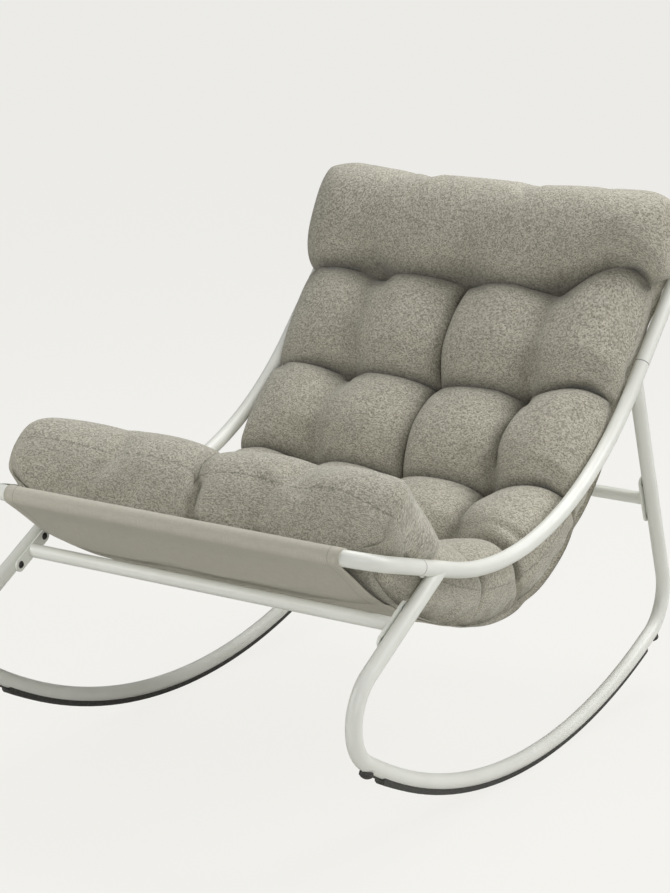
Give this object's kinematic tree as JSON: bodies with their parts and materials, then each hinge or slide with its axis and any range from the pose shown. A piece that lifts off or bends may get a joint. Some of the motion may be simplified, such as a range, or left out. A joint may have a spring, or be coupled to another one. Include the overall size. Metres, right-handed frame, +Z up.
{
  "type": "rocking armchair",
  "caption": "Garden rocking lounge chair: bent-tube side frames on curved rockers, U-shaped hoops at front and back, a hung cloth sling and a long tufted cushion.",
  "frame": {"origin": "on the floor, midway between the lowest lines of the two rockers, under the centre of their arc", "axes": "+Z up, the chair faces -Y, +X to the right of someone who looks along +Y from its front"},
  "size_m": [0.712, 1.1474, 0.8681],
  "materials": {
    "powder_coated_tube": "satin",
    "coated_screw": "satin",
    "black_bolt": "satin",
    "zinc_insert": "satin",
    "strip_rubber": "matte",
    "sling_cloth": "matte",
    "cushion_fabric": "matte"
  },
  "bodies": {
    "root": {"left_side_rail": "powder_coated_tube", "right_side_rail": "powder_coated_tube", "left_rocker_loop": "powder_coated_tube", "right_rocker_loop": "powder_coated_tube", "front_hoop": "powder_coated_tube", "back_hoop": "powder_coated_tube", "front_hoop_screws": "coated_screw", "back_hoop_screws": "coated_screw", "front_crossbar": "powder_coated_tube", "rear_crossbar": "powder_coated_tube", "front_crossbar_plates": "powder_coated_tube", "rear_crossbar_plates": "powder_coated_tube", "front_crossbar_bolts": "black_bolt", "rear_crossbar_bolts": "black_bolt", "front_leg_inserts": "zinc_insert", "rear_leg_inserts": "zinc_insert", "left_glide_strip": "strip_rubber", "right_glide_strip": "strip_rubber", "front_stop_buttons": "strip_rubber", "rear_stop_buttons": "strip_rubber", "sling": "sling_cloth", "cushion": "cushion_fabric"}
  },
  "joints": []
}
